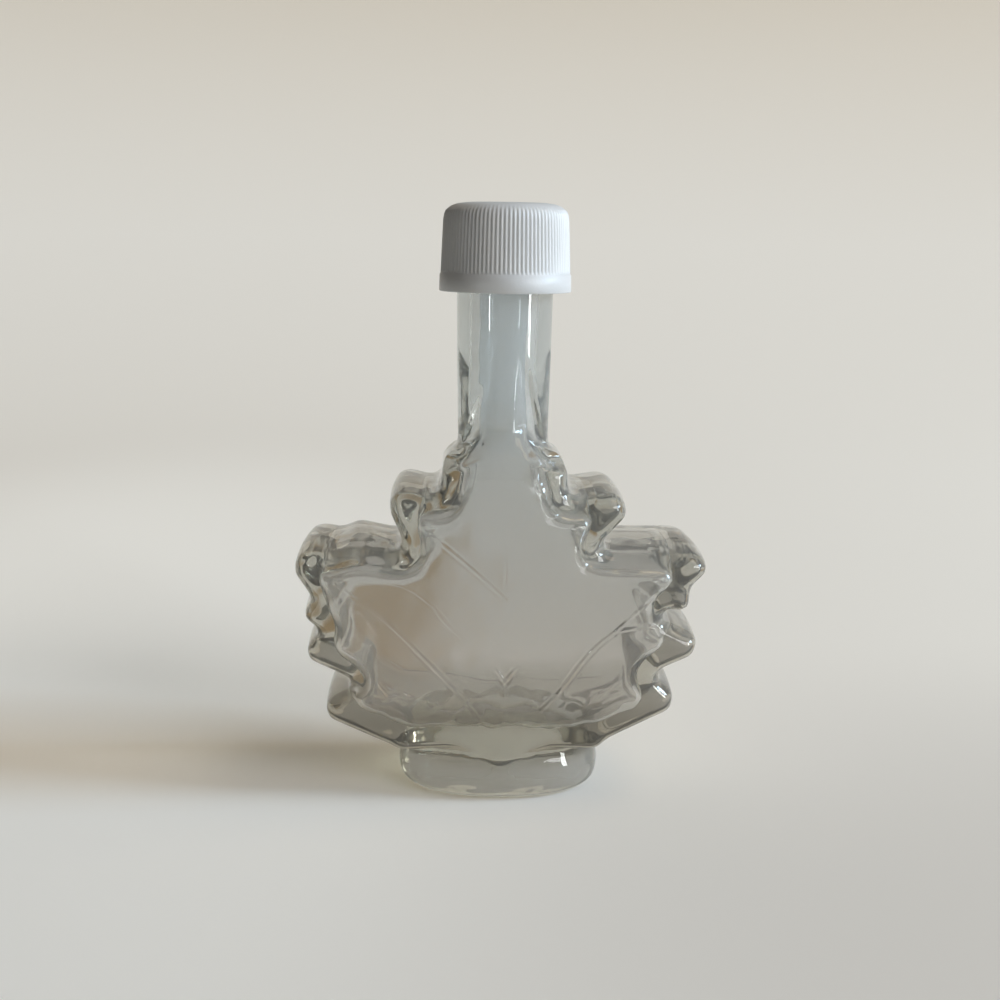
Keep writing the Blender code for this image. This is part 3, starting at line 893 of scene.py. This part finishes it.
def studio_cove():
    """A round floor that sweeps up into a low wall all round the bottle."""
    line = [(radius, 0.0) for radius in COVE_RINGS]
    for step in range(COVE_STEPS + 1):
        share = step / COVE_STEPS
        line.append((COVE_FLAT + (COVE_REACH - COVE_FLAT) * share, COVE_HEIGHT * share * share))
    bm = spun(line)
    bmesh.ops.recalc_face_normals(bm, faces=bm.faces)
    bmesh.ops.reverse_faces(bm, faces=bm.faces)
    mesh = mesh_from(bm, "studio_cove")
    mesh.materials.append(plaster())
    mesh.shade_smooth()
    cove = new_object("studio_cove", mesh)


def dark_screen():
    """A dark screen round the left and the front, which only dims the soft light that reaches the bottle."""
    bm = bmesh.new()
    low = bm.verts.new((SCREEN_REACH, 0.0, SCREEN_FOOT))
    high = bm.verts.new((SCREEN_REACH, 0.0, SCREEN_TOP))
    edge = bm.edges.new((low, high))
    first, last = (math.radians(angle) for angle in SCREEN_ARC)
    bmesh.ops.rotate(bm, cent=(0, 0, 0), matrix=Matrix.Rotation(first, 3, "Z"), verts=bm.verts)
    bmesh.ops.spin(
        bm,
        geom=[low, high, edge],
        axis=Z_AXIS,
        cent=(0, 0, 0),
        angle=last - first,
        steps=SCREEN_STEPS,
    )
    mesh = mesh_from(bm, "dark_screen")
    material, _, shader = new_material("dark_cloth")
    shader.inputs["Base Color"].default_value = SCREEN_COLOUR
    shader.inputs["Roughness"].default_value = 1.0
    shader.inputs["Specular IOR Level"].default_value = 0.0
    mesh.materials.append(material)
    screen = new_object("dark_screen", mesh)
    screen.visible_camera = False
    screen.visible_transmission = False
    screen.visible_glossy = False
    screen.visible_shadow = False


def aimed_light(name, towards, distance, size, power, colour):
    """An area light that looks at the bottle's middle from the given way round and height."""
    data = bpy.data.lights.new(name, "AREA")
    data.shape = "RECTANGLE"
    data.size, data.size_y = size
    data.energy = power
    data.color = colour
    around, up = (math.radians(angle) for angle in towards)
    away = Vector((math.sin(around) * math.cos(up), -math.cos(around) * math.cos(up), math.sin(up)))
    obj = new_object(name, data)
    obj.location = away * distance
    obj.rotation_mode = "QUATERNION"
    obj.rotation_quaternion = (Vector(AIM) - away * distance).to_track_quat("-Z", "Y")
    return obj


def set_lights():
    """The soft lights, and the strips that make the bright lines in the glass."""
    for name, values in LIGHTS.items():
        aimed_light(name, *values)
    for name, values in STRIPS.items():
        strip = aimed_light(name, *values)
        strip.visible_camera = False
        strip.visible_diffuse = False
        strip.visible_transmission = name in SEEN_THROUGH


def set_world():
    """A dim warm surround, a little brighter where it is seen directly or through the glass."""
    world = bpy.data.worlds.new("room")
    world.use_nodes = True
    tree = world.node_tree
    background = tree.nodes["Background"]
    background.inputs["Color"].default_value = (*SURROUND_COLOUR, 1)
    rays = tree.nodes.new("ShaderNodeLightPath")
    seen = tree.nodes.new("ShaderNodeMath")
    seen.operation = "MAXIMUM"
    tree.links.new(rays.outputs["Is Camera Ray"], seen.inputs[0])
    tree.links.new(rays.outputs["Is Transmission Ray"], seen.inputs[1])
    strength = tree.nodes.new("ShaderNodeMapRange")
    strength.inputs["To Min"].default_value = SURROUND_LIGHT
    strength.inputs["To Max"].default_value = SURROUND_SEEN
    tree.links.new(seen.outputs["Value"], strength.inputs["Value"])
    tree.links.new(strength.outputs["Result"], background.inputs["Strength"])
    bpy.context.scene.world = world


def set_camera():
    data = bpy.data.cameras.new("camera")
    data.sensor_width = CAMERA_SENSOR
    data.lens = CAMERA_LENS
    data.clip_start = CAMERA_NEAR
    camera = new_object("camera", data)
    side, pitch, roll = (math.radians(angle) for angle in (CAMERA_SIDE, CAMERA_PITCH, CAMERA_ROLL))
    look = Matrix.Rotation(math.radians(90) - pitch, 4, "X") @ Matrix.Rotation(roll, 4, "Z")
    around = Matrix.Rotation(-side, 4, "Z")
    camera.matrix_world = around @ Matrix.Translation(CAMERA_PLACE) @ look
    bpy.context.scene.camera = camera


place_piece("leaf_glass", glass_bottle(), clear_glass(), "glass_bottle")
place_piece("ribbed_cap", screw_cap(), white_plastic(), "screw_cap")
studio_cove()
dark_screen()
set_lights()
set_world()
set_camera()
bpy.context.scene.view_settings.view_transform = "Standard"
